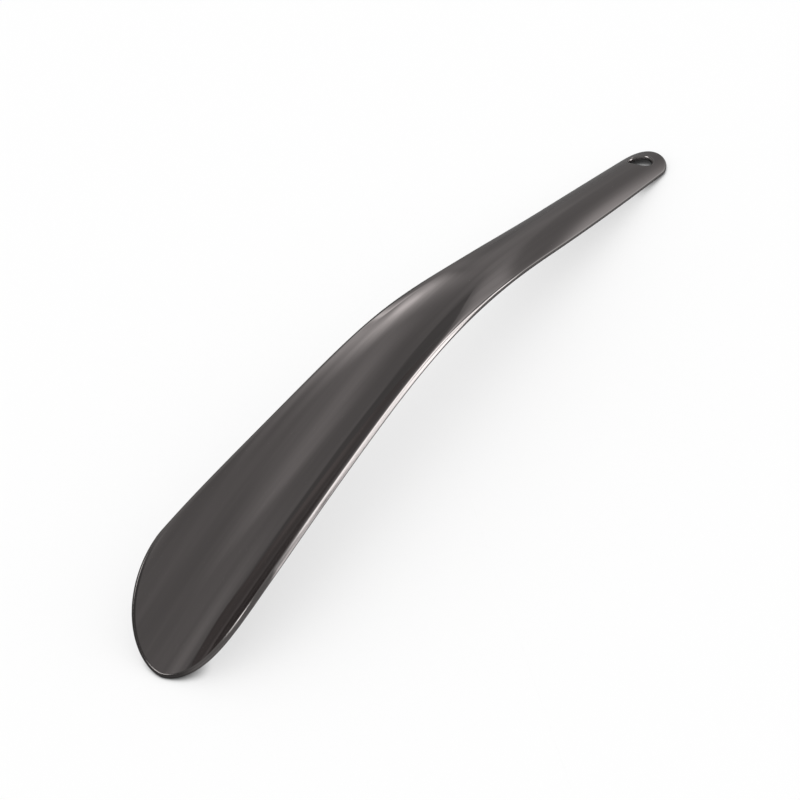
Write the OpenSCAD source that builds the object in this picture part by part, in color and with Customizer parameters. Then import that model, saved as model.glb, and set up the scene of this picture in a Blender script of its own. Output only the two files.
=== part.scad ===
// Long shoehorn pressed from a single sheet of polished steel.
//
// The sheet starts as a flat blank with a broad rounded blade at one end and
// a narrow rounded handle at the other. Pressing hollows the blade so that it
// cups a heel, crowns the handle the opposite way so that it is stiff and
// comfortable to hold, and bends the whole length into a shallow arch. A hole
// is punched through the crown near the handle end for a hook or a cord.
//
// Frame: the horn lies at rest on a table, hollow side of the blade up.
// X runs along the length from the blade tip (-X) to the handle end (+X),
// Y runs across, Z is up. The origin is the centre of the footprint.

/* [Sheet] */
// Length from the blade tip to the handle end
overall_length = 300; // [260:5:360]
// Thickness of the steel sheet
sheet_thickness = 1.8; // [1.6:0.1:2.2]
// Radius that breaks both corners of the cut edge
edge_radius = 0.75; // [0.3:0.05:0.75]

/* [Lengthwise arch] */
// Height of the sheet at the blade tip
tip_rise = 0.9; // [0.6:0.1:3]
// Height that pulls the front of the blade up
toe_rise = 15.1; // [10:0.1:20]
// Height that pulls the middle of the blade up
blade_rise = 22.4; // [16:0.1:28]
// Height that pulls the neck up, where the blade meets the handle
neck_rise = 27.2; // [20:0.1:33]
// Height that pulls the start of the handle up
grip_rise = 23.7; // [17:0.1:29]
// Height that pulls the middle of the handle up
handle_rise = 14.4; // [9:0.1:19]
// Height of the sheet at the handle end, measured on the crown
end_rise = 1.9; // [1:0.1:6]

/* [Blank width, measured around the curve] */
// Width that the rounded tip is cut from
tip_width = 59.4; // [48:0.1:64]
// Width of the blank at the broad front of the blade
toe_width = 52.2; // [44:0.1:58]
// Width of the blank halfway up the blade
blade_width = 43; // [36:0.1:48]
// Width of the blank at the upper blade
shoulder_width = 36.6; // [31:0.1:42]
// Width of the blank where the blade runs into the neck
throat_width = 31.9; // [26:0.1:36]
// Width of the blank at the neck
neck_width = 22.9; // [19:0.1:27]
// Width of the blank at the start of the handle
grip_width = 24.3; // [20:0.1:27]
// Width of the blank along the handle
handle_width = 22.9; // [19:0.1:26]
// Width that the rounded handle end is cut from
end_width = 18.7; // [16:0.1:22]
// Length of the rounded tip of the blade
tip_length = 38.8; // [30:0.2:46]
// Fullness of the tip outline, 2 is an ellipse and less is more pointed
tip_fullness = 1.71; // [1.5:0.01:2.2]
// Length of the rounded handle end
end_length = 9.2; // [8:0.2:11]

/* [Pressed cross curve] */
// Radius of the hollow at the tip of the blade
toe_hollow = 25; // [24:0.5:40]
// Radius of the hollow halfway up the blade
blade_hollow = 28; // [24:0.5:40]
// Radius of the hollow at the upper blade
shoulder_hollow = 24; // [19:0.5:34]
// Radius of the hollow just before the neck
neck_hollow = 31; // [24:0.5:60]
// Radius of the crown just after the neck
neck_crown = 18; // [14:0.5:30]
// Radius of the crown along the handle
handle_crown = 13; // [11:0.5:20]
// Radius of the crown at the handle end
end_crown = 14.5; // [11:0.5:20]

/* [Hanging hole] */
// Diameter of the hole punched through the handle
hole_diameter = 8.5; // [6:0.5:10]
// Distance from the handle end to the centre of the hole
hole_setback = 9.8; // [8.5:0.1:14]

/* [Hidden] */

// How finely the skin is divided.
tip_stations = 16;
run_stations = 54;
end_stations = 10;
face_steps = 16;
corner_steps = 3;
hole_sides = 64;
// Curve below which the sheet counts as straight, one over a radius in millimetres.
straight_limit = 0.00001;

half_sheet = sheet_thickness / 2;
arch = [tip_rise, toe_rise, blade_rise, neck_rise, grip_rise, handle_rise, end_rise];
half_blank = [tip_width, toe_width, blade_width, shoulder_width, throat_width,
              neck_width, grip_width, handle_width, end_width] / 2;
cross_curve = [1 / toe_hollow, 1 / blade_hollow, 1 / blade_hollow, 1 / shoulder_hollow,
               1 / neck_hollow, -1 / neck_crown, -1 / handle_crown, -1 / end_crown];

// Smooth cubic curve steered by evenly spaced pull values, s from 0 to 1.
function pull(c, i) =
    i < 0 ? 2 * c[0] - c[1]
    : i > len(c) - 1 ? 2 * c[len(c) - 1] - c[len(c) - 2]
    : c[i];
function span_index(c, s) = min(floor(s * (len(c) - 1)), len(c) - 2);
function smooth(c, s) =
    let (i = span_index(c, s))
    let (f = s * (len(c) - 1) - i)
    ((1 - f) ^ 3 * pull(c, i - 1)
     + (3 * f ^ 3 - 6 * f ^ 2 + 4) * pull(c, i)
     + (-3 * f ^ 3 + 3 * f ^ 2 + 3 * f + 1) * pull(c, i + 1)
     + f ^ 3 * pull(c, i + 2)) / 6;
function steepness(c, s) =
    let (i = span_index(c, s))
    let (f = s * (len(c) - 1) - i)
    (-(1 - f) ^ 2 * pull(c, i - 1)
     + (3 * f ^ 2 - 4 * f) * pull(c, i)
     + (-3 * f ^ 2 + 2 * f + 1) * pull(c, i + 1)
     + f ^ 2 * pull(c, i + 2)) * (len(c) - 1) / 2;

// Direction square to the arch at a distance x from the tip.
function arch_normal(x) =
    let (fall = -steepness(arch, x / overall_length) / overall_length)
    [fall, 0, 1] / norm([fall, 0, 1]);

// Point of the pressed sheet: x from the tip, u around the cross curve,
// h above the middle of the sheet.
function sheet_point(x, u, h) =
    let (bend = smooth(cross_curve, x / overall_length))
    let (k = abs(bend) < straight_limit ? straight_limit : bend)
    let (turn = k * u * 180 / PI)
    let (up = arch_normal(x))
    [x, sin(turn) / k, smooth(arch, x / overall_length)]
    + up * ((1 - cos(turn)) / k)
    + (cos(turn) * up - [0, sin(turn), 0]) * h;

// Outline of the flat blank: half width at a distance x from the tip.
function end_taper(x, length, fullness) =
    let (q = max(0, 1 - x / length))
    (1 - q ^ fullness) ^ (1 / fullness);
function blank_half_width(x) =
    smooth(half_blank, x / overall_length)
    * end_taper(x, tip_length, tip_fullness)
    * end_taper(overall_length - x, end_length, 2);

// Stations along the length, crowded together where the two ends round off.
run_length = overall_length - tip_length - end_length;
stations = concat(
    [for (i = [0 : tip_stations - 1]) tip_length * (1 - cos(90 * i / tip_stations))],
    [for (i = [0 : run_stations - 1]) tip_length + run_length * i / run_stations],
    [for (i = [0 : end_stations]) overall_length - end_length * (1 - sin(90 * i / end_stations))]);
last = len(stations) - 1;
outline = [for (i = [0 : last])
    [stations[i], i == 0 || i == last ? 0 : blank_half_width(stations[i])]];

// Direction square to the outline in the plane of the flat blank.
function outline_normal(i) =
    i == 0 ? [-1, 0]
    : i == last ? [1, 0]
    : let (run = outline[i + 1] - outline[i - 1]) [-run[1], run[0]] / norm(run);

// Half section of the cut edge, from the upper face round to the lower face.
corner = [for (i = [0 : corner_steps])
    let (a = 90 * i / corner_steps)
    [edge_radius * (1 - sin(a)), half_sheet - edge_radius * (1 - cos(a))]];
edge = concat(corner, [for (i = [corner_steps : -1 : 0]) [corner[i][0], -corner[i][1]]]);
edge_last = len(edge) - 1;

// Skin point at station i, level j of the cut edge, v from -1 to 1 across the sheet.
function skin_point(i, j, v) =
    let (p = outline[i] - outline_normal(i) * edge[j][0])
    sheet_point(p[0], v * p[1], edge[j][1]);

// One closed ring of skin points per station: upper face from +Y to -Y, the
// -Y edge, lower face back to +Y, then the +Y edge.
function ring(i) = concat(
    [for (k = [0 : face_steps]) skin_point(i, 0, 1 - 2 * k / face_steps)],
    [for (j = [1 : edge_last - 1]) skin_point(i, j, -1)],
    [for (k = [0 : face_steps]) skin_point(i, edge_last, -1 + 2 * k / face_steps)],
    [for (j = [edge_last - 1 : -1 : 1]) skin_point(i, j, 1)]);
ring_size = 2 * (face_steps + edge_last);

// At both ends the ring closes up into the bare edge line.
function end_line(i) = [for (j = [0 : edge_last]) skin_point(i, j, 1)];
function line_slot(k) =
    k <= face_steps ? 0
    : k <= face_steps + edge_last ? k - face_steps
    : k <= 2 * face_steps + edge_last ? edge_last
    : ring_size - k;
line_size = edge_last + 1;
function skin_index(i, k) =
    let (m = (k + ring_size) % ring_size)
    i == 0 ? line_slot(m)
    : i == last ? line_size + (last - 1) * ring_size + line_slot(m)
    : line_size + (i - 1) * ring_size + m;

raw_points = concat(
    end_line(0),
    [for (i = [1 : last - 1]) each ring(i)],
    end_line(last));
skin_faces = [for (i = [0 : last - 1])
    for (k = [0 : ring_size - 1])
    let (a = skin_index(i, k))
    let (b = skin_index(i, k + 1))
    let (c = skin_index(i + 1, k + 1))
    let (d = skin_index(i + 1, k))
    for (t = [[a, b, c], [a, c, d]])
    if (t[0] != t[1] && t[1] != t[2] && t[2] != t[0]) t];

// Shift that brings the middle of the footprint to the origin.
xs = [for (p = raw_points) p[0]];
zs = [for (p = raw_points) p[2]];
rest_shift = [-(min(xs) + max(xs)) / 2, 0, -min(zs)];
skin_points = [for (p = raw_points) p + rest_shift];

// The punch passes square to the arch and clears the crowned sheet on both sides.
hole_x = overall_length - hole_setback;
hole_axis = arch_normal(hole_x);
hole_tilt = atan2(hole_axis[0], hole_axis[2]);
punch_length = 6 * sheet_thickness;

module hanging_hole() {
    translate(sheet_point(hole_x, 0, 0) + rest_shift)
        rotate([0, hole_tilt, 0])
            cylinder(d = hole_diameter, h = punch_length, center = true, $fn = hole_sides);
}

module shoehorn_pressing() {
    color("dimgray")
        difference() {
            polyhedron(points = skin_points, faces = skin_faces, convexity = 6);
            hanging_hole();
        }
}

shoehorn_pressing();
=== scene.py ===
"""Long shoehorn pressed from one sheet of dark polished steel, lying on a pale studio floor.

The CAD pressing is replaced by a fine smooth skin worked out from the same design sizes, with
rounded cut edges and a rounded hole, so that the polished metal reflects without facets.
Design sizes are in millimetres, and everything handed to Blender is in metres.

A place on the pressing is given on the flat blank that it is pressed from: x runs straight from
the blade tip to the handle end, u runs across from the middle line, round the cross curve, and
h is the height above the middle of the sheet. The far side has u above 0, and the near side,
next to the camera, has u below 0.
"""

import math

import bmesh
import bpy
import numpy as np
from mathutils import Matrix, Vector


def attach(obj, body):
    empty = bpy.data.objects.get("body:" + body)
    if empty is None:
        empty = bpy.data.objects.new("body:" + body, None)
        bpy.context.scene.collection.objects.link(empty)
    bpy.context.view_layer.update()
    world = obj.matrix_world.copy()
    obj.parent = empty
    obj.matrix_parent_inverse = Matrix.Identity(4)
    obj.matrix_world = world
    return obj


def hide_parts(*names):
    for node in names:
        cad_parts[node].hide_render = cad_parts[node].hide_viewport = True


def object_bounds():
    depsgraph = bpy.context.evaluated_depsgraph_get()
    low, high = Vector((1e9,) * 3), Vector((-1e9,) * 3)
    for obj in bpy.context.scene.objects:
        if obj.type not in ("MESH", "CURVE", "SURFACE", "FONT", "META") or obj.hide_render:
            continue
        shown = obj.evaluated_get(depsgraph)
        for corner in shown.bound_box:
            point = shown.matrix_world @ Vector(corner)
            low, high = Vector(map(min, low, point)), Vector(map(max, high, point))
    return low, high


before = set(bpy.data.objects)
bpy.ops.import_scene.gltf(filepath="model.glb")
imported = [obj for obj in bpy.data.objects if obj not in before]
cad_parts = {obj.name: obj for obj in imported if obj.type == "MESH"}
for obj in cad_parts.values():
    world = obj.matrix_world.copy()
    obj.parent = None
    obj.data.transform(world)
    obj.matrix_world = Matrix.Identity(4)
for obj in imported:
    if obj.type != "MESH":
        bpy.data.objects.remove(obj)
cad_low, cad_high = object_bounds()

MM = 0.001

# ---------------------------------------------------------------- design sizes, millimetres

OVERALL_LENGTH = 300.0
HALF_SHEET = 1.8 / 2
EDGE_RADIUS = 0.75
TIP_LENGTH = 38.8
TIP_FULLNESS = 1.71
END_LENGTH = 9.2
END_FULLNESS = 2.0
HOLE_RADIUS = 4.25
HOLE_SETBACK = 9.8
HOLE_ROUND = 0.8
HOLE_X = OVERALL_LENGTH - HOLE_SETBACK

# Pull values of three smooth curves, evenly spaced from the blade tip to the handle end:
# the height of the arch, the width of the blank, and the radius of the hollow or, where it is
# negative, of the crown.
ARCH_RISE = np.array([0.9, 15.1, 22.4, 27.2, 23.7, 14.4, 1.9])
HALF_BLANK = np.array([59.4, 52.2, 43.0, 36.6, 31.9, 22.9, 24.3, 22.9, 18.7]) / 2
CROSS_CURVE = 1 / np.array([25.0, 28.0, 28.0, 24.0, 31.0, -18.0, -13.0, -14.5])
# Curve below which the sheet counts as straight.
STRAIGHT_LIMIT = 1e-5

# Upper and lower face: where each stands in the profile of the cut edge, and its height.
FACES = ((0, HALF_SHEET), (-1, -HALF_SHEET))

# ---------------------------------------------------------------- mesh fineness

TIP_STATIONS = 60
RUN_STATIONS = 340
END_STATIONS = 40
FACE_STEPS = 92
CORNER_STEPS = 5
WALL_STEPS = 4
PATCH_RINGS = 16
# How strongly the steps of a face crowd together towards cut edges and hole, from 0 to 1.
FACE_CROWDING = 0.7
# The patch round the hole starts the setback and this margin before the hole's centre.
PATCH_MARGIN = 1.0
# Rounds of the search for the points beside the hole, and its trial step.
HOLE_SEARCH_ROUNDS = 6
HOLE_SEARCH_STEP = 1e-4

# Wear is full on a cut edge and falls to about a third this far into the face.
EDGE_FADE = 0.7
# Wear on the straight wall of the hole, where little rubs.
WALL_WEAR = 0.3


# ---------------------------------------------------------------- shape of the pressing

def spans(pulls, s):
    """Pull values with one more at each end, the span that s falls in, and the share of it."""
    extended = np.concatenate([[2 * pulls[0] - pulls[1]], pulls, [2 * pulls[-1] - pulls[-2]]])
    t = np.clip(s, 0, 1) * (len(pulls) - 1)
    i = np.minimum(t.astype(int), len(pulls) - 2)
    return extended, i, t - i


def smooth(pulls, s):
    """Uniform cubic curve steered by evenly spaced pull values, s from 0 to 1."""
    e, i, f = spans(pulls, s)
    return ((1 - f) ** 3 * e[i] + (3 * f ** 3 - 6 * f ** 2 + 4) * e[i + 1]
            + (-3 * f ** 3 + 3 * f ** 2 + 3 * f + 1) * e[i + 2] + f ** 3 * e[i + 3]) / 6


def steepness(pulls, s):
    """Slope of smooth() against s."""
    e, i, f = spans(pulls, s)
    return (-(1 - f) ** 2 * e[i] + (3 * f ** 2 - 4 * f) * e[i + 1]
            + (-3 * f ** 2 + 2 * f + 1) * e[i + 2] + f ** 2 * e[i + 3]) * (len(pulls) - 1) / 2


def sheet_point(x, u, h):
    """Points of the pressed sheet for places on the flat blank."""
    x, u, h = np.broadcast_arrays(np.asarray(x, float), np.asarray(u, float), np.asarray(h, float))
    s = x / OVERALL_LENGTH
    slope = steepness(ARCH_RISE, s) / OVERALL_LENGTH
    length = np.hypot(1, slope)
    up = np.stack([-slope / length, np.zeros_like(x), 1 / length], -1)
    k = smooth(CROSS_CURVE, s)
    k = np.where(np.abs(k) < STRAIGHT_LIMIT, STRAIGHT_LIMIT, k)
    turn = k * u
    side = np.zeros_like(up)
    side[..., 1] = 1
    centre = np.stack([x, np.zeros_like(x), smooth(ARCH_RISE, s)], -1)
    return (centre + side * (np.sin(turn) / k)[..., None] + up * ((1 - np.cos(turn)) / k)[..., None]
            + (up * np.cos(turn)[..., None] - side * np.sin(turn)[..., None]) * h[..., None])


def end_taper(x, length, fullness):
    """Share of the full width at a distance x from an end that is rounded over a length."""
    q = np.clip(1 - x / length, 0, 1)
    return (1 - q ** fullness) ** (1 / fullness)


def blank_half_width(x):
    return (smooth(HALF_BLANK, x / OVERALL_LENGTH) * end_taper(x, TIP_LENGTH, TIP_FULLNESS)
            * end_taper(OVERALL_LENGTH - x, END_LENGTH, END_FULLNESS))


def make_outline():
    """(x, half width) and outward direction of the blank's outline at each station."""
    tip = TIP_LENGTH * (1 - np.cos(np.linspace(0, math.pi / 2, TIP_STATIONS, endpoint=False)))
    run = np.linspace(TIP_LENGTH, OVERALL_LENGTH - END_LENGTH, RUN_STATIONS, endpoint=False)
    end = OVERALL_LENGTH - END_LENGTH * (1 - np.sin(np.linspace(0, math.pi / 2, END_STATIONS + 1)))
    x = np.concatenate([tip, run, end])
    outline = np.stack([x, blank_half_width(x)], -1)
    outline[0, 1] = outline[-1, 1] = 0
    run_dir = np.zeros_like(outline)
    run_dir[1:-1] = outline[2:] - outline[:-2]
    outward = np.stack([-run_dir[:, 1], run_dir[:, 0]], -1)
    outward[0] = (-1, 0)
    outward[-1] = (1, 0)
    outward /= np.linalg.norm(outward, axis=1)[:, None]
    return outline, outward


def edge_profile():
    """(inset, height) rows from the upper face round the cut edge to the lower face."""
    a = np.linspace(0, math.pi / 2, CORNER_STEPS + 1)
    inset = EDGE_RADIUS * (1 - np.sin(a))
    height = HALF_SHEET - EDGE_RADIUS * (1 - np.cos(a))
    return np.concatenate([inset, inset[::-1]]), np.concatenate([height, -height[::-1]])


def crowded(steps):
    """Even steps that lie within -1 to 1, crowded together towards -1 and 1."""
    return (1 - FACE_CROWDING) * steps + FACE_CROWDING * np.sin(steps * math.pi / 2)


def edge_wear(distance):
    """1 on a cut edge, fading to 0 a little way into the face."""
    return np.exp(-np.maximum(distance, 0) / EDGE_FADE)


class Skin:
    """Collects points, what the material needs to know about each, and faces."""

    def __init__(self):
        self.points = []
        self.places = []
        self.wears = []
        self.walls = []
        self.faces = []
        self.count = 0

    def add(self, points, x, u, wear, wall=0.0):
        """New points with their place on the blank, wear, and 1 on the hole's straight wall."""
        points = np.asarray(points, float).reshape(-1, 3)
        n = len(points)
        x, u = np.broadcast_to(x, n), np.broadcast_to(u, n)
        from_edge = blank_half_width(x) - np.abs(u)
        self.points.append(points)
        self.places.append(np.stack([x, u, from_edge], -1))
        self.wears.append(np.broadcast_to(np.asarray(wear, float), n))
        self.walls.append(np.full(n, wall))
        index = np.arange(self.count, self.count + n)
        self.count += n
        return index

    def sheet(self, x, u, h, wear):
        return self.add(sheet_point(x, u, h), x, u, wear)

    def strip(self, a, b):
        """Faces between two equally long rows of indices, leaving out collapsed ones."""
        for a0, a1, b0, b1 in zip(a[:-1], a[1:], b[:-1], b[1:]):
            corners = list(dict.fromkeys([int(a0), int(a1), int(b1), int(b0)]))
            if len(corners) > 2:
                self.faces.append(corners)

    def loop(self, a, b):
        """Faces between two closed rows."""
        self.strip(np.append(a, a[0]), np.append(b, b[0]))


def lay_cut_edges(skin, outline, outward):
    """The cut edge on both sides: one row of points per station, shared at the two ends."""
    inset, height = edge_profile()
    last = len(outline) - 1
    left, right = [], []
    for i in range(last + 1):
        p = outline[i][None] - outward[i][None] * inset[:, None]
        left.append(skin.sheet(p[:, 0], p[:, 1], height, 1.0))
        right.append(left[i] if i in (0, last) else skin.sheet(p[:, 0], -p[:, 1], height, 1.0))
    for i in range(last):
        skin.strip(left[i], left[i + 1])
        skin.strip(right[i + 1], right[i])
    return left, right


def lay_faces(skin, outline, outward, left, right, patch_start):
    """Upper and lower face, from the tip up to the patch round the hole. Gives their last rows."""
    steps = crowded(np.linspace(1, -1, FACE_STEPS + 1))[1:-1]
    last_rows = {}
    for end, h in FACES:
        previous = np.full(FACE_STEPS + 1, left[0][end])
        for i in range(1, patch_start + 1):
            p = outline[i] - outward[i] * EDGE_RADIUS
            u = steps * p[1]
            wear = edge_wear(np.minimum(p[1] - np.abs(u), p[0]))
            inner = skin.sheet(p[0], u, h, wear)
            current = np.concatenate([[left[i][end]], inner, [right[i][end]]])
            skin.strip(previous, current)
            previous = current
        last_rows[end] = previous
    return last_rows


# Centre and directions of the hanging hole, which stands square to the arch.
HOLE_CENTRE = sheet_point(HOLE_X, 0, 0)
HOLE_AXIS = sheet_point(HOLE_X, 0, 1) - HOLE_CENTRE
HOLE_ACROSS = np.array([0.0, 1.0, 0.0])
HOLE_ALONG = np.cross(HOLE_ACROSS, HOLE_AXIS)


def solve_on_hole(radius, angle, h):
    """(x, u) where the face at height h stands a radius from the hole's axis, at each angle."""
    x = HOLE_X + radius * np.cos(angle)
    u = radius * np.sin(angle)
    want = np.stack([radius * np.cos(angle), radius * np.sin(angle)], -1)

    def spread(x_here, u_here):
        d = sheet_point(x_here, u_here, h) - HOLE_CENTRE
        return np.stack([d @ HOLE_ALONG, d @ HOLE_ACROSS], -1)

    for _ in range(HOLE_SEARCH_ROUNDS):
        here = spread(x, u)
        jx = (spread(x + HOLE_SEARCH_STEP, u) - here) / HOLE_SEARCH_STEP
        ju = (spread(x, u + HOLE_SEARCH_STEP) - here) / HOLE_SEARCH_STEP
        det = jx[:, 0] * ju[:, 1] - ju[:, 0] * jx[:, 1]
        miss = want - here
        x = x + (miss[:, 0] * ju[:, 1] - ju[:, 0] * miss[:, 1]) / det
        u = u + (jx[:, 0] * miss[:, 1] - miss[:, 0] * jx[:, 1]) / det
    return x, u


def lay_hole_patches(skin, left, right, last_rows, patch_start):
    """Rings on both faces, from the patch's border down to the rounded rim of the hole.

    Gives for each face the last ring, its angles, and the height of the face along the axis.
    """
    last = len(left) - 1
    stations = range(patch_start, last)
    rims = {}
    for end, h in FACES:
        border = np.concatenate([
            [left[i][end] for i in stations], [left[last][end]],
            [right[i][end] for i in reversed(stations)], last_rows[end][-2:0:-1]])
        place = np.concatenate(skin.places)[border]
        angle = np.arctan2(place[:, 1], place[:, 0] - HOLE_X)
        rim_x, rim_u = solve_on_hole(HOLE_RADIUS + HOLE_ROUND, angle, h)
        previous = border
        for share in crowded(np.arange(1, PATCH_RINGS + 1) / PATCH_RINGS):
            x = place[:, 0] + (rim_x - place[:, 0]) * share
            u = place[:, 1] + (rim_u - place[:, 1]) * share
            to_rim = np.hypot(rim_x - x, rim_u - u)
            to_border = np.hypot(place[:, 0] - x, place[:, 1] - u)
            wear = np.maximum(edge_wear(to_rim), edge_wear(to_border) * (place[:, 0] > HOLE_X))
            current = skin.sheet(x, u, h, wear)
            skin.loop(previous, current)
            previous = current
        level = (sheet_point(rim_x, rim_u, h) - HOLE_CENTRE) @ HOLE_AXIS
        rims[end] = (previous, angle, level)
    return rims


def lay_hole_wall(skin, rims):
    """Wall of the hole: rounded over at both faces, straight in between."""
    upper_ring, angle, upper = rims[0]
    lower_ring, _, lower = rims[-1]
    radial = np.cos(angle)[:, None] * HOLE_ALONG + np.sin(angle)[:, None] * HOLE_ACROSS

    def ring(radius, level, wear, wall=0.0):
        points = HOLE_CENTRE + radial * radius + level[:, None] * HOLE_AXIS
        return skin.add(points, HOLE_X, 0, wear, wall)

    def rounded(a):
        return HOLE_RADIUS + HOLE_ROUND * (1 - math.sin(a)), HOLE_ROUND * (1 - math.cos(a))

    rows = [upper_ring]
    for a in np.linspace(0, math.pi / 2, CORNER_STEPS + 1)[1:]:
        radius, depth = rounded(a)
        rows.append(ring(radius, upper - depth, 1.0))
    top, bottom = upper - HOLE_ROUND, lower + HOLE_ROUND
    for share in np.linspace(0, 1, WALL_STEPS + 1)[1:]:
        rows.append(ring(HOLE_RADIUS, top + (bottom - top) * share, WALL_WEAR, wall=1.0))
    for a in np.linspace(math.pi / 2, 0, CORNER_STEPS + 1)[1:-1]:
        radius, depth = rounded(a)
        rows.append(ring(radius, lower + depth, 1.0))
    rows.append(lower_ring)
    for a, b in zip(rows[:-1], rows[1:]):
        skin.loop(a, b)


def fitted_to_cad(points):
    """The points in metres, fitted to the CAD box.

    The finer skin swells past the faceted CAD skin by hundredths of a millimetre.
    """
    low, high = points.min(0), points.max(0)
    box_low, box_high = np.array(cad_low), np.array(cad_high)
    return box_low + (points - low) / (high - low) * (box_high - box_low)


def mesh_from(skin):
    """Smooth mesh of the skin, with what the material needs as attributes."""
    mesh = bpy.data.meshes.new("shoehorn_skin")
    mesh.from_pydata(fitted_to_cad(np.concatenate(skin.points)).tolist(), [], skin.faces)
    bm = bmesh.new()
    bm.from_mesh(mesh)
    bmesh.ops.recalc_face_normals(bm, faces=bm.faces)
    bm.to_mesh(mesh)
    bm.free()
    # Place on the blank in metres: x, u, and the distance across to the nearer side edge.
    place = mesh.attributes.new("sheet_place", "FLOAT_VECTOR", "POINT")
    place.data.foreach_set("vector", (np.concatenate(skin.places) * MM).astype(np.float32).ravel())
    for name, values in (("wear", skin.wears), ("punched_wall", skin.walls)):
        stored = mesh.attributes.new(name, "FLOAT", "POINT")
        stored.data.foreach_set("value", np.concatenate(values).astype(np.float32))
    mesh.shade_smooth()
    return mesh


def build_pressing():
    """The whole pressing as one closed skin, in the row frame."""
    skin = Skin()
    outline, outward = make_outline()
    patch_x = HOLE_X - HOLE_SETBACK - PATCH_MARGIN
    patch_start = int(np.searchsorted(outline[:, 0], patch_x))
    left, right = lay_cut_edges(skin, outline, outward)
    last_rows = lay_faces(skin, outline, outward, left, right, patch_start)
    rims = lay_hole_patches(skin, left, right, last_rows, patch_start)
    lay_hole_wall(skin, rims)
    obj = bpy.data.objects.new("shoehorn_polished_skin", mesh_from(skin))
    bpy.context.collection.objects.link(obj)
    return obj


# ---------------------------------------------------------------- node helpers

def set_or_link(tree, socket, value):
    if isinstance(value, bpy.types.NodeSocket):
        tree.links.new(value, socket)
    else:
        socket.default_value = value


def node(tree, kind, inputs=None, **settings):
    """A new node with its settings, and its inputs set to values or linked to sockets."""
    made = tree.nodes.new(kind)
    for name, value in settings.items():
        setattr(made, name, value)
    for key, value in (inputs or {}).items():
        set_or_link(tree, made.inputs[key], value)
    return made


def math_node(tree, operation, *values):
    made = node(tree, "ShaderNodeMath", operation=operation)
    for socket, value in zip(made.inputs, values):
        set_or_link(tree, socket, value)
    return made.outputs[0]


def product(tree, *values):
    so_far = values[0]
    for value in values[1:]:
        so_far = math_node(tree, "MULTIPLY", so_far, value)
    return so_far


def soft_step(tree, value, low, high, to_low=0.0, to_high=1.0):
    """Smooth change from to_low to to_high as value goes from low to high."""
    return node(tree, "ShaderNodeMapRange", {
        "Value": value, "From Min": low, "From Max": high, "To Min": to_low, "To Max": to_high,
    }, interpolation_type="SMOOTHSTEP").outputs["Result"]


def attribute(tree, name, output):
    return node(tree, "ShaderNodeAttribute", attribute_name=name).outputs[output]


def split(tree, vector):
    """The x, y and z sockets of a vector."""
    return node(tree, "ShaderNodeSeparateXYZ", {"Vector": vector}).outputs


def stretched_noise(tree, place, scale, detail=2.0, roughness=0.5, distortion=0.0):
    """Noise laid out on the flat blank, so that it follows the pressing."""
    moved = node(tree, "ShaderNodeMapping", {"Vector": place, "Scale": scale})
    return node(tree, "ShaderNodeTexNoise", {
        "Vector": moved.outputs[0], "Scale": 1.0, "Detail": detail, "Roughness": roughness,
        "Distortion": distortion}).outputs["Fac"]


def colour_mix(tree, factor, first, second):
    """Blend of two colours, each a colour tuple or a socket."""
    made = node(tree, "ShaderNodeMix", {"Factor": factor}, data_type="RGBA")
    colour_sockets = [socket for socket in made.inputs if socket.type == "RGBA"]
    for socket, value in zip(colour_sockets, (first, second)):
        set_or_link(tree, socket, (*value, 1) if isinstance(value, tuple) else value)
    return [socket for socket in made.outputs if socket.type == "RGBA"][0]


# ---------------------------------------------------------------- steel

# Tint of the plating, of its darker streaks, and of rubbed edges.
STEEL_TINT = (0.485, 0.443, 0.436)
STEEL_SHADED = (0.412, 0.377, 0.371)
STEEL_WORN = (0.53, 0.495, 0.485)
# Wear from which rubbing shows, and the share of the rubbed tint where wear is full.
RUBBED_FROM = 0.55
RUBBED_SHARE = 0.8
# The cut edge round the tip is dulled by shoes, which makes it rougher, and its tint is darkened
# with painted shade: the painted shade's tint and share, the wear from which it counts as cut edge,
# its reach from the tip, and where it sets in across, near side to far.
TIP_EDGE_PAINTED_SHADE = (0.15, 0.14, 0.137)
TIP_EDGE_SHADE_SHARE = 0.85
TIP_EDGE_WEAR = 0.5
TIP_EDGE_REACH = 40 * MM
TIP_EDGE_ACROSS = (-14 * MM, -6 * MM)

# Roughness of the polish, and what the fine lines, the cloudy patches, the dulled edge and
# the straight wall of the hole add to it.
POLISH_ROUGHNESS = 0.045
LINE_ROUGHNESS = 0.03
CLOUD_ROUGHNESS = 0.03
DULLED_ROUGHNESS = 0.10
WALL_ROUGHNESS = 0.35

# Noise patterns, with their scale in cells per metre along and across: fine polishing lines,
# faint waves, lengthwise streaks of shade, and cloudy patches.
LINES = dict(scale=(18, 2600, 1), detail=3, roughness=0.6)
WAVES = dict(scale=(9, 210, 1), detail=2)
STREAKS = dict(scale=(5, 130, 1), detail=3)
CLOUDS = dict(scale=(30, 45, 1), detail=4, distortion=0.6)
# Noise values between which a streak goes from the plain tint to the shaded one.
STREAK_RANGE = (0.38, 0.62)
# Noise values between which a cloudy patch goes from less to more wear, and how much of it.
CLOUD_RANGE = (0.25, 0.75)
CLOUD_WEAR = (0.95, 1.05)
# Depth of the waves and of the lines.
WAVE_DEPTH = 0.05 * MM
LINE_DEPTH = 0.0006 * MM

# Margin eased over the cut edge by polishing, in the shading only: its width and its greatest
# slope on the far side, then on the near side, where it broadens towards the neck.
FAR_MARGIN = 2.2 * MM
FAR_LEAN = 0.7
NEAR_MARGIN = 4.0 * MM
NEAR_GROWTH = 6.5 * MM
NEAR_LEAN = 0.62
# The drop goes with this power of the distance into the margin, so it starts without a crease.
EASE_POWER = 1.5
# Outermost part of the near margin, rolled further over.
ROLL_MARGIN = 2.6 * MM
ROLL_LEAN = 1.2
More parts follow.
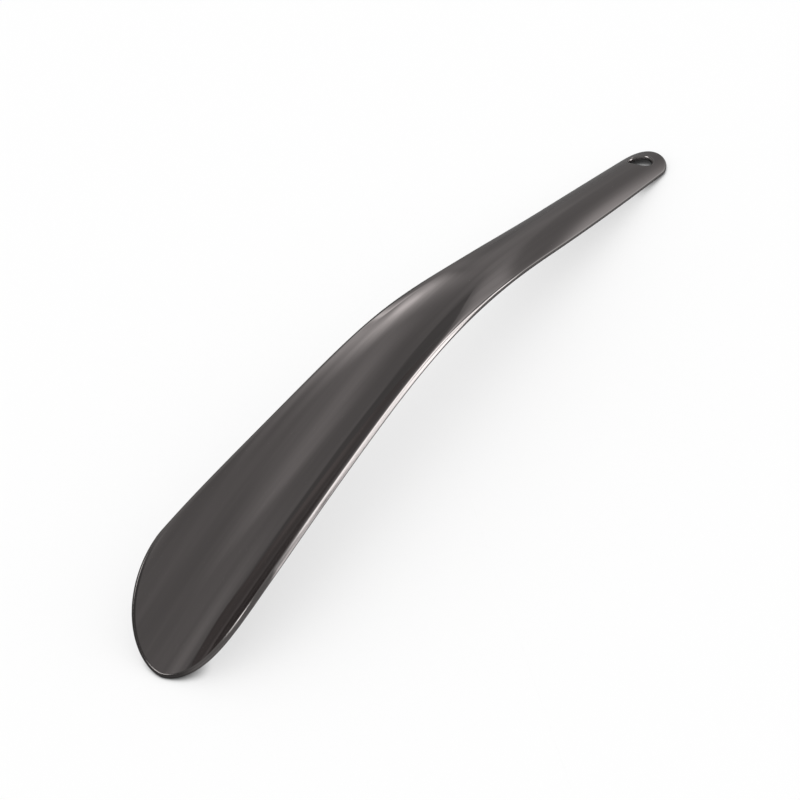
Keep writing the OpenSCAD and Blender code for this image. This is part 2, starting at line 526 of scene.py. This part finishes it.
# Stretches of the length over which the margin changes, as shares from the tip.
FAR_LEAN_IN = (0.44, 0.56)
NEAR_LEAN_IN = (0.02, 0.22)
LEAN_OUT = (0.50, 0.65)
GROWTH_IN = (0.44, 0.66)
ROLL_IN = (0.08, 0.22)
ROLL_OUT = (0.44, 0.56)
# Half width of the blend from the near to the far side.
SIDE_BLEND = 2 * MM
# Upward part of the surface direction, from where the eased margin is left out to where it is
# full, so that the lower corner of the cut edge stays crisp.
EASED_FACING = (0.1, 0.55)


def eased_margin(tree, place):
    """Height of the polished margin, in metres: the buffing wheel leans over the cut edge."""
    x, u, from_edge = split(tree, place)
    share = math_node(tree, "DIVIDE", x, OVERALL_LENGTH * MM)
    near_side = soft_step(tree, u, -SIDE_BLEND, SIDE_BLEND, 1.0, 0.0)
    far_side = math_node(tree, "SUBTRACT", 1.0, near_side)

    growth = soft_step(tree, share, *GROWTH_IN, 0.0, NEAR_GROWTH)
    wider = math_node(tree, "ADD", growth, NEAR_MARGIN - FAR_MARGIN)
    margin = math_node(tree, "MULTIPLY_ADD", near_side, wider, FAR_MARGIN)
    near_lean = product(tree, near_side, soft_step(tree, share, *NEAR_LEAN_IN, 0.0, NEAR_LEAN))
    far_lean = product(tree, far_side, soft_step(tree, share, *FAR_LEAN_IN, 0.0, FAR_LEAN))
    lean = product(tree, math_node(tree, "ADD", near_lean, far_lean),
                   soft_step(tree, share, *LEAN_OUT, 1.0, 0.0))
    into = math_node(tree, "MAXIMUM", math_node(tree, "SUBTRACT", margin, from_edge), 0.0)
    scale = product(tree, math_node(tree, "POWER", margin, EASE_POWER - 1), EASE_POWER)
    drop = math_node(tree, "DIVIDE", math_node(tree, "POWER", into, EASE_POWER), scale)
    drop = product(tree, drop, lean)

    into_roll = math_node(tree, "SUBTRACT", ROLL_MARGIN, from_edge)
    into_roll = math_node(tree, "MAXIMUM", into_roll, 0.0)
    rolled = product(tree, math_node(tree, "POWER", into_roll, 2.0), 0.5 * ROLL_LEAN / ROLL_MARGIN,
                     near_side, soft_step(tree, share, *ROLL_IN),
                     soft_step(tree, share, *ROLL_OUT, 1.0, 0.0))
    return product(tree, math_node(tree, "ADD", drop, rolled), -1.0)


def dulled_and_shaded_tip(tree, place, wear):
    """1 on the cut edge round the tip, away from the near side: where it is rougher and painted
    dark as shade.
    """
    x, u, _ = split(tree, place)
    return product(tree, soft_step(tree, x, 0.5 * TIP_EDGE_REACH, TIP_EDGE_REACH, 1.0, 0.0),
                   soft_step(tree, wear, TIP_EDGE_WEAR, 1.0), soft_step(tree, u, *TIP_EDGE_ACROSS))


def steel_colour(tree, place, wear, cloud, dulled_and_shaded):
    shade = soft_step(tree, stretched_noise(tree, place, **STREAKS), *STREAK_RANGE)
    plain = colour_mix(tree, shade, STEEL_TINT, STEEL_SHADED)
    patchy = soft_step(tree, cloud, *CLOUD_RANGE, *CLOUD_WEAR)
    rubbed = soft_step(tree, product(tree, wear, patchy), RUBBED_FROM, 1.0, 0.0, RUBBED_SHARE)
    edged = colour_mix(tree, rubbed, plain, STEEL_WORN)
    # Painted shade: the cut edge round the tip is darkened towards a near-black tint.
    return colour_mix(tree, product(tree, dulled_and_shaded, TIP_EDGE_SHADE_SHARE), edged, TIP_EDGE_PAINTED_SHADE)


def steel_roughness(tree, lines, cloud, dulled_and_shaded):
    wall = attribute(tree, "punched_wall", "Fac")
    rough = POLISH_ROUGHNESS
    for cause, added in ((lines, LINE_ROUGHNESS), (cloud, CLOUD_ROUGHNESS),
                         (wall, WALL_ROUGHNESS), (dulled_and_shaded, DULLED_ROUGHNESS)):
        rough = math_node(tree, "MULTIPLY_ADD", cause, added, rough)
    return rough


def steel_normal(tree, place, lines):
    """Surface direction with the eased margin, the waves and the polishing lines."""
    facing_up = split(tree, node(tree, "ShaderNodeNewGeometry").outputs["Normal"])["Z"]
    eased = node(tree, "ShaderNodeBump", {
        "Height": eased_margin(tree, place), "Distance": 1.0,
        "Strength": soft_step(tree, facing_up, *EASED_FACING)})
    wavy = node(tree, "ShaderNodeBump", {
        "Height": stretched_noise(tree, place, **WAVES), "Strength": 1.0,
        "Distance": WAVE_DEPTH, "Normal": eased.outputs[0]})
    lined = node(tree, "ShaderNodeBump", {
        "Height": lines, "Strength": 1.0, "Distance": LINE_DEPTH, "Normal": wavy.outputs[0]})
    return lined.outputs[0]


def dark_polished_steel():
    """Black-nickel plated steel: mirror polished along its length, brighter on rubbed edges, with
    painted shade darkening the cut edge round the tip.
    """
    material = bpy.data.materials.new("dark_polished_steel")
    material.use_nodes = True
    tree = material.node_tree
    place = attribute(tree, "sheet_place", "Vector")
    wear = attribute(tree, "wear", "Fac")
    lines = stretched_noise(tree, place, **LINES)
    cloud = stretched_noise(tree, place, **CLOUDS)
    dulled_and_shaded = dulled_and_shaded_tip(tree, place, wear)
    inputs = tree.nodes["Principled BSDF"].inputs
    tree.links.new(steel_colour(tree, place, wear, cloud, dulled_and_shaded), inputs["Base Color"])
    tree.links.new(steel_roughness(tree, lines, cloud, dulled_and_shaded), inputs["Roughness"])
    tree.links.new(steel_normal(tree, place, lines), inputs["Normal"])
    inputs["Metallic"].default_value = 1.0
    return material


# ---------------------------------------------------------------- floor

# The paper glows a little for the camera, as if lit from all round, which keeps shadows light.
# Mirror reflections see it dimmer, as on a darker shooting table.
FLOOR_ALBEDO = 0.35
FLOOR_GLOW = 0.62
FLOOR_IN_MIRROR = 0.17
FLOOR_ROUGHNESS = 0.9
FLOOR_SHEEN = 0.1
FLOOR_HALF = 6.0
# The paper lies this far below the object.
FLOOR_GAP = 0.1 * MM
# Painted contact shadow: within this reach of the object the paper's colour and glow are darkened
# where little of the sky is open to it: the open shares where the painted shadow is darkest and
# where it is clear, and the brightness left.
CONTACT_REACH = 6 * MM
CONTACT_DARK = 0.1
CONTACT_LIGHT = 0.75
CONTACT_LEFT = 0.03


def pale_floor():
    """Seamless pale paper, with a painted contact shadow keeping the gap below the object dark."""
    material = bpy.data.materials.new("pale_floor")
    material.use_nodes = True
    tree = material.node_tree
    seen = node(tree, "ShaderNodeLightPath").outputs["Is Camera Ray"]
    open_sky = node(tree, "ShaderNodeAmbientOcclusion", {"Distance": CONTACT_REACH}).outputs["AO"]
    # Painted contact shadow: share of the floor's colour and glow left, from how much sky is open.
    clear = soft_step(tree, open_sky, CONTACT_DARK, CONTACT_LIGHT, CONTACT_LEFT, 1.0)
    albedo = node(tree, "ShaderNodeMapRange", {
        "Value": seen, "To Min": FLOOR_IN_MIRROR, "To Max": FLOOR_ALBEDO}).outputs["Result"]
    albedo = product(tree, albedo, clear)
    grey = node(tree, "ShaderNodeCombineColor", {"Red": albedo, "Green": albedo, "Blue": albedo})
    inputs = tree.nodes["Principled BSDF"].inputs
    tree.links.new(grey.outputs[0], inputs["Base Color"])
    tree.links.new(product(tree, seen, FLOOR_GLOW, clear), inputs["Emission Strength"])
    inputs["Emission Color"].default_value = (1, 1, 1, 1)
    inputs["Roughness"].default_value = FLOOR_ROUGHNESS
    inputs["Specular IOR Level"].default_value = FLOOR_SHEEN
    return material


def make_floor():
    mesh = bpy.data.meshes.new("floor")
    h = FLOOR_HALF
    mesh.from_pydata([(-h, -h, 0), (h, -h, 0), (h, h, 0), (-h, h, 0)], [], [(0, 1, 2, 3)])
    mesh.materials.append(pale_floor())
    floor = bpy.data.objects.new("floor", mesh)
    floor.location.z = cad_low.z - FLOOR_GAP
    bpy.context.collection.objects.link(floor)


# ---------------------------------------------------------------- studio

def direction(azimuth, elevation):
    """Unit vector, with the azimuth counted from +X towards +Y, in degrees."""
    a, e = math.radians(azimuth), math.radians(elevation)
    return Vector((math.cos(a) * math.cos(e), math.sin(a) * math.cos(e), math.sin(e)))


def part_along(tree, ray, axis):
    made = node(tree, "ShaderNodeVectorMath", {0: ray, 1: axis}, operation="DOT_PRODUCT")
    return made.outputs["Value"]


def panel(tree, ray, azimuth, elevation, half_wide, half_high, blur_wide, blur_high, strength,
          tilt=0.0, lean=0.0):
    """Soft-edged rectangular panel far away, as seen in a direction. All angles in degrees."""
    ahead = direction(azimuth, elevation)
    level = direction(azimuth + 90, 0)
    rise = ahead.cross(level)
    cos_tilt, sin_tilt = math.cos(math.radians(tilt)), math.sin(math.radians(tilt))
    sideways = level * cos_tilt + rise * sin_tilt
    upward = rise * cos_tilt - level * sin_tilt
    x = math_node(tree, "ARCTAN2", part_along(tree, ray, sideways), part_along(tree, ray, ahead))
    y = math_node(tree, "ARCSINE", part_along(tree, ray, upward))
    x = math_node(tree, "ABSOLUTE", math_node(tree, "MULTIPLY_ADD", y, -lean, x))
    y = math_node(tree, "ABSOLUTE", y)
    wide = soft_step(tree, x, math.radians(half_wide - blur_wide),
                     math.radians(half_wide + blur_wide), strength, 0.0)
    high = soft_step(tree, y, math.radians(half_high - blur_high),
                     math.radians(half_high + blur_high), 1.0, 0.0)
    return product(tree, wide, high)


# Light of the white backdrop behind the object, of the dome that lights the matt floor, and of
# the dim room that the polished metal reflects wherever there is no panel.
BACKDROP = 0.97
DOME = 1.07
ROOM = 0.16
PANELS = [
    # Ceiling panel beyond the handle: a faint patch over the middle of the blade.
    dict(azimuth=20, elevation=58, tilt=20, half_wide=18, half_high=13, blur_wide=4,
         blur_high=12, strength=0.09),
    # Long strip above the front: the highlight along the blade's far flank and the neck.
    dict(azimuth=3.5, elevation=47.5, tilt=-32, half_wide=22, half_high=1.5, blur_wide=12,
         blur_high=6.5, strength=0.75),
    # Bright core of the strip.
    dict(azimuth=6, elevation=46, tilt=-32, half_wide=8, half_high=0.5, blur_wide=5,
         blur_high=3, strength=0.5),
    # Lower end of the strip: the highlight's end at the neck.
    dict(azimuth=25, elevation=33, tilt=-45, half_wide=8, half_high=2, blur_wide=4,
         blur_high=3.5, strength=0.16),
    # Faint patch below the strip: evens out the far side of the neck.
    dict(azimuth=31, elevation=20, half_wide=7, half_high=6, blur_wide=2, blur_high=5,
         strength=0.035),
    # Second strip to the right: the highlight's end towards the tip, by the far cut edge.
    dict(azimuth=-35, elevation=48.5, tilt=5, half_wide=10.5, half_high=1.5, blur_wide=9,
         blur_high=5.5, strength=0.54),
    # Low fill to the right: the sheen on the handle's near flank.
    dict(azimuth=-38, elevation=18, half_wide=24, half_high=10, blur_wide=22, blur_high=6,
         strength=0.53),
    # Weak glow low ahead: the handle's crown.
    dict(azimuth=20, elevation=14, half_wide=24, half_high=14, blur_wide=8, blur_high=8,
         strength=0.035),
    # Key window low on the right: the bright line along the near cut edge.
    dict(azimuth=-51, elevation=15, half_wide=13, half_high=13, blur_wide=4, blur_high=4,
         strength=1.6),
    # Upper extension of the window, seen only by the rounding of the near cut edge.
    dict(azimuth=-38, elevation=35, half_wide=8, half_high=5, blur_wide=4, blur_high=4,
         strength=1.1),
    # Side fill beyond the far left: the bottom of the hollow near the tip.
    dict(azimuth=88, elevation=38, half_wide=12, half_high=8, blur_wide=12, blur_high=11,
         strength=0.12),
    # Small lamp high at the far left: the glint on the rim of the hanging hole.
    dict(azimuth=116, elevation=55, half_wide=10, half_high=9, blur_wide=2, blur_high=2,
         strength=2.6),
    # Box behind the camera, seen only from the other side.
    dict(azimuth=195, elevation=52, half_wide=18, half_high=8, blur_wide=5, blur_high=4,
         strength=0.12),
]
# Flags take a share of the light away.
FLAGS = [
    # Dark card standing behind the handle: the dark band inside the near flank.
    dict(azimuth=63, elevation=9, tilt=-8, lean=-0.25, half_wide=23.4, half_high=12.5,
         blur_wide=1.5, blur_high=1.5, strength=0.4),
    # Gap between the ceiling panel and the card.
    dict(azimuth=41, elevation=47.5, tilt=29, half_wide=6, half_high=8, blur_wide=5,
         blur_high=5, strength=0.2),
]


def make_world():
    """Mirror rays see the panels, matt surfaces an even dome, and the camera a white backdrop."""
    world = bpy.data.worlds.new("studio")
    bpy.context.scene.world = world
    world.use_nodes = True
    world.cycles.sampling_method = "NONE"
    tree = world.node_tree
    tree.nodes.clear()
    ray = node(tree, "ShaderNodeTexCoord").outputs["Generated"]
    level = ROOM
    for lit in PANELS:
        level = math_node(tree, "ADD", level, panel(tree, ray, **lit))
    for flag in FLAGS:
        level = product(tree, level, math_node(tree, "SUBTRACT", 1.0, panel(tree, ray, **flag)))
    path = node(tree, "ShaderNodeLightPath")
    for ray_kind, seen in (("Is Diffuse Ray", DOME), ("Is Camera Ray", BACKDROP)):
        mix = node(tree, "ShaderNodeMix", {0: path.outputs[ray_kind], 2: level, 3: seen},
                   data_type="FLOAT")
        level = mix.outputs[0]
    background = node(tree, "ShaderNodeBackground", {"Color": (1, 1, 1, 1), "Strength": level})
    out = node(tree, "ShaderNodeOutputWorld")
    tree.links.new(background.outputs[0], out.inputs[0])


# The direction that the camera looks in, from +X towards +Y, how far it looks down, and how it
# is turned about its line of sight, in degrees.
CAMERA_HEADING = 40.6
CAMERA_DROP = 37.2
CAMERA_ROLL = -11.06
# What it looks at, and from how far away, in metres.
CAMERA_TARGET = Vector((-0.0182, -0.0008, 0.010))
CAMERA_DISTANCE = 0.8805
# Focal length and sensor width, in millimetres.
CAMERA_LENS = 121.08
CAMERA_SENSOR = 36.0


def make_camera():
    data = bpy.data.cameras.new("camera")
    data.lens = CAMERA_LENS
    data.sensor_width = CAMERA_SENSOR
    camera = bpy.data.objects.new("camera", data)
    bpy.context.collection.objects.link(camera)
    back = -direction(CAMERA_HEADING, -CAMERA_DROP)
    flat_right = direction(CAMERA_HEADING - 90, 0)
    flat_up = back.cross(flat_right)
    roll = math.radians(CAMERA_ROLL)
    right = flat_right * math.cos(roll) + flat_up * math.sin(roll)
    up = -flat_right * math.sin(roll) + flat_up * math.cos(roll)
    turn = Matrix((right, up, back)).transposed()
    camera.matrix_world = Matrix.Translation(CAMERA_TARGET + back * CAMERA_DISTANCE) @ turn.to_4x4()
    bpy.context.scene.camera = camera


# ---------------------------------------------------------------- scene

pressing = build_pressing()
pressing.data.materials.append(dark_polished_steel())
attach(pressing, "root")
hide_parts("shoehorn_pressing")

make_floor()
make_world()
make_camera()
bpy.context.scene.view_settings.view_transform = "Standard"
